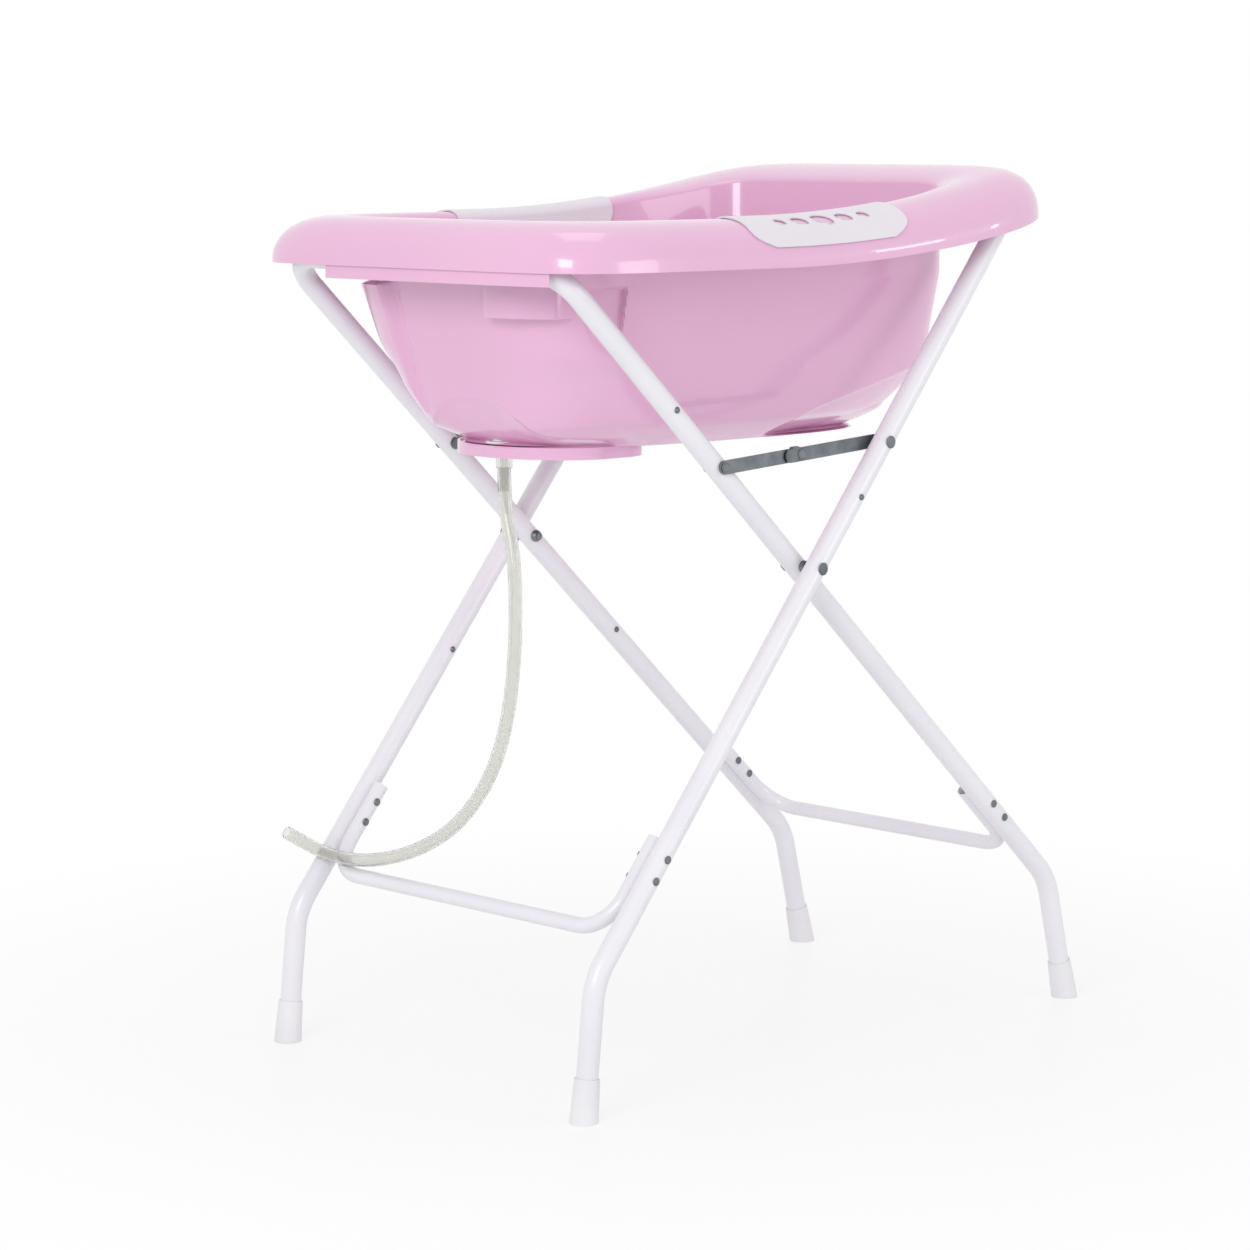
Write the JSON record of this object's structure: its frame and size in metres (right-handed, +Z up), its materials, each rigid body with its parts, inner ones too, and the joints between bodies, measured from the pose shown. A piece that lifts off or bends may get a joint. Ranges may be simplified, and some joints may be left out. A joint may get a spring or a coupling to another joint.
{
  "type": "raised bathtub on a folding stand",
  "caption": "Moulded plastic washing tub with hand grips and a drain hose, hung by its rim on a folding scissor stand of bent steel tube.",
  "frame": {"origin": "on the floor, at the middle of the object's length and width without the hose", "axes": "+Z up, X along the tub with the drain at its -X end, Y across the tub"},
  "size_m": [0.8029, 0.5319, 0.9186],
  "materials": {
    "tub_plastic": "glossy moulded plastic",
    "grip_plastic": "satin moulded plastic",
    "drain_plastic": "satin moulded plastic",
    "clear_vinyl": "clear flexible vinyl",
    "cap_plastic": "satin moulded plastic",
    "white_tube": "powder-coated steel tube",
    "zinc": "zinc-plated steel"
  },
  "bodies": {
    "inner_frame": {"inner_top_tube": "white_tube", "inner_stretcher": "white_tube", "inner_middle_tube_near": "white_tube", "inner_lower_leg_near": "white_tube", "inner_foot_cap_near": "cap_plastic", "inner_joint_screw_near": "zinc", "inner_lower_screw_near": "zinc", "inner_upper_rivet_near": "zinc", "inner_lower_rivet_near": "zinc", "inner_stay_pin_near": "zinc", "inner_middle_tube_far": "white_tube", "inner_lower_leg_far": "white_tube", "inner_foot_cap_far": "cap_plastic", "inner_joint_screw_far": "zinc", "inner_lower_screw_far": "zinc", "inner_upper_rivet_far": "zinc", "inner_lower_rivet_far": "zinc", "inner_stay_pin_far": "zinc", "pivot_bolt_near": "zinc", "pivot_spacer_near": "zinc", "pivot_nut_near": "zinc", "pivot_bolt_far": "zinc", "pivot_spacer_far": "zinc", "pivot_nut_far": "zinc"},
    "inner_stay_near": {"inner_stay_link_near": "zinc", "inner_centre_pin_near": "zinc"},
    "inner_stay_far": {"inner_stay_link_far": "zinc", "inner_centre_pin_far": "zinc"},
    "outer_frame": {"outer_top_tube": "white_tube", "outer_stretcher": "white_tube", "outer_middle_tube_near": "white_tube", "outer_lower_leg_near": "white_tube", "outer_foot_cap_near": "cap_plastic", "outer_joint_screw_near": "zinc", "outer_lower_screw_near": "zinc", "outer_upper_rivet_near": "zinc", "outer_lower_rivet_near": "zinc", "outer_stay_pin_near": "zinc", "outer_middle_tube_far": "white_tube", "outer_lower_leg_far": "white_tube", "outer_foot_cap_far": "cap_plastic", "outer_joint_screw_far": "zinc", "outer_lower_screw_far": "zinc", "outer_upper_rivet_far": "zinc", "outer_lower_rivet_far": "zinc", "outer_stay_pin_far": "zinc"},
    "outer_stay_near": {"outer_stay_link_near": "zinc", "outer_centre_pin_near": "zinc"},
    "outer_stay_far": {"outer_stay_link_far": "zinc", "outer_centre_pin_far": "zinc"},
    "tub": {"tub_shell": "tub_plastic", "grip_near": "grip_plastic", "grip_far": "grip_plastic", "drain_fitting": "drain_plastic", "drain_nut": "drain_plastic", "hose_connector": "clear_vinyl", "drain_hose": "clear_vinyl"},
    "plug": {"drain_plug": "drain_plastic"}
  },
  "joints": [
    {"name": "scissor_fold", "type": "hinge", "parent": "inner_frame", "child": "outer_frame", "pos_m": [-0.04948, 0, 0.5166], "axis": [0, -1, 0], "range_deg": [0, 72]},
    {"name": "tub_lift", "type": "slide", "parent": "inner_frame", "child": "tub", "axis": [-0.309, 0, 0.9511], "range_m": [0, 1.571], "deforming": ["drain_hose"]},
    {"name": "plug_pull", "type": "slide", "parent": "tub", "child": "plug", "axis": [0, 0, 1], "range_m": [0, 0.2]},
    {"name": "inner_stay_fold_near", "type": "hinge", "parent": "inner_frame", "child": "inner_stay_near", "pos_m": [-0.16465, -0.216, 0.62476], "axis": [0, -1, 0], "range_deg": [0, 116]},
    {"name": "inner_stay_fold_far", "type": "hinge", "parent": "inner_frame", "child": "inner_stay_far", "pos_m": [-0.16465, 0.216, 0.62476], "axis": [0, -1, 0], "range_deg": [0, 116]},
    {"name": "outer_stay_fold_near", "type": "hinge", "parent": "outer_frame", "child": "outer_stay_near", "pos_m": [0.04996, -0.216, 0.63939], "axis": [0, 1, 0], "range_deg": [0, 116]},
    {"name": "outer_stay_fold_far", "type": "hinge", "parent": "outer_frame", "child": "outer_stay_far", "pos_m": [0.04996, 0.216, 0.63939], "axis": [0, 1, 0], "range_deg": [0, 116]}
  ],
  "couplings": [
    {"joint": "tub_lift", "follows": "scissor_fold", "m_per_rad": 1.25},
    {"joint": "inner_stay_fold_near", "follows": "scissor_fold", "ratio": 1.6088},
    {"joint": "inner_stay_fold_far", "follows": "scissor_fold", "ratio": 1.6088},
    {"joint": "outer_stay_fold_near", "follows": "scissor_fold", "ratio": 1.6088},
    {"joint": "outer_stay_fold_far", "follows": "scissor_fold", "ratio": 1.6088}
  ]
}
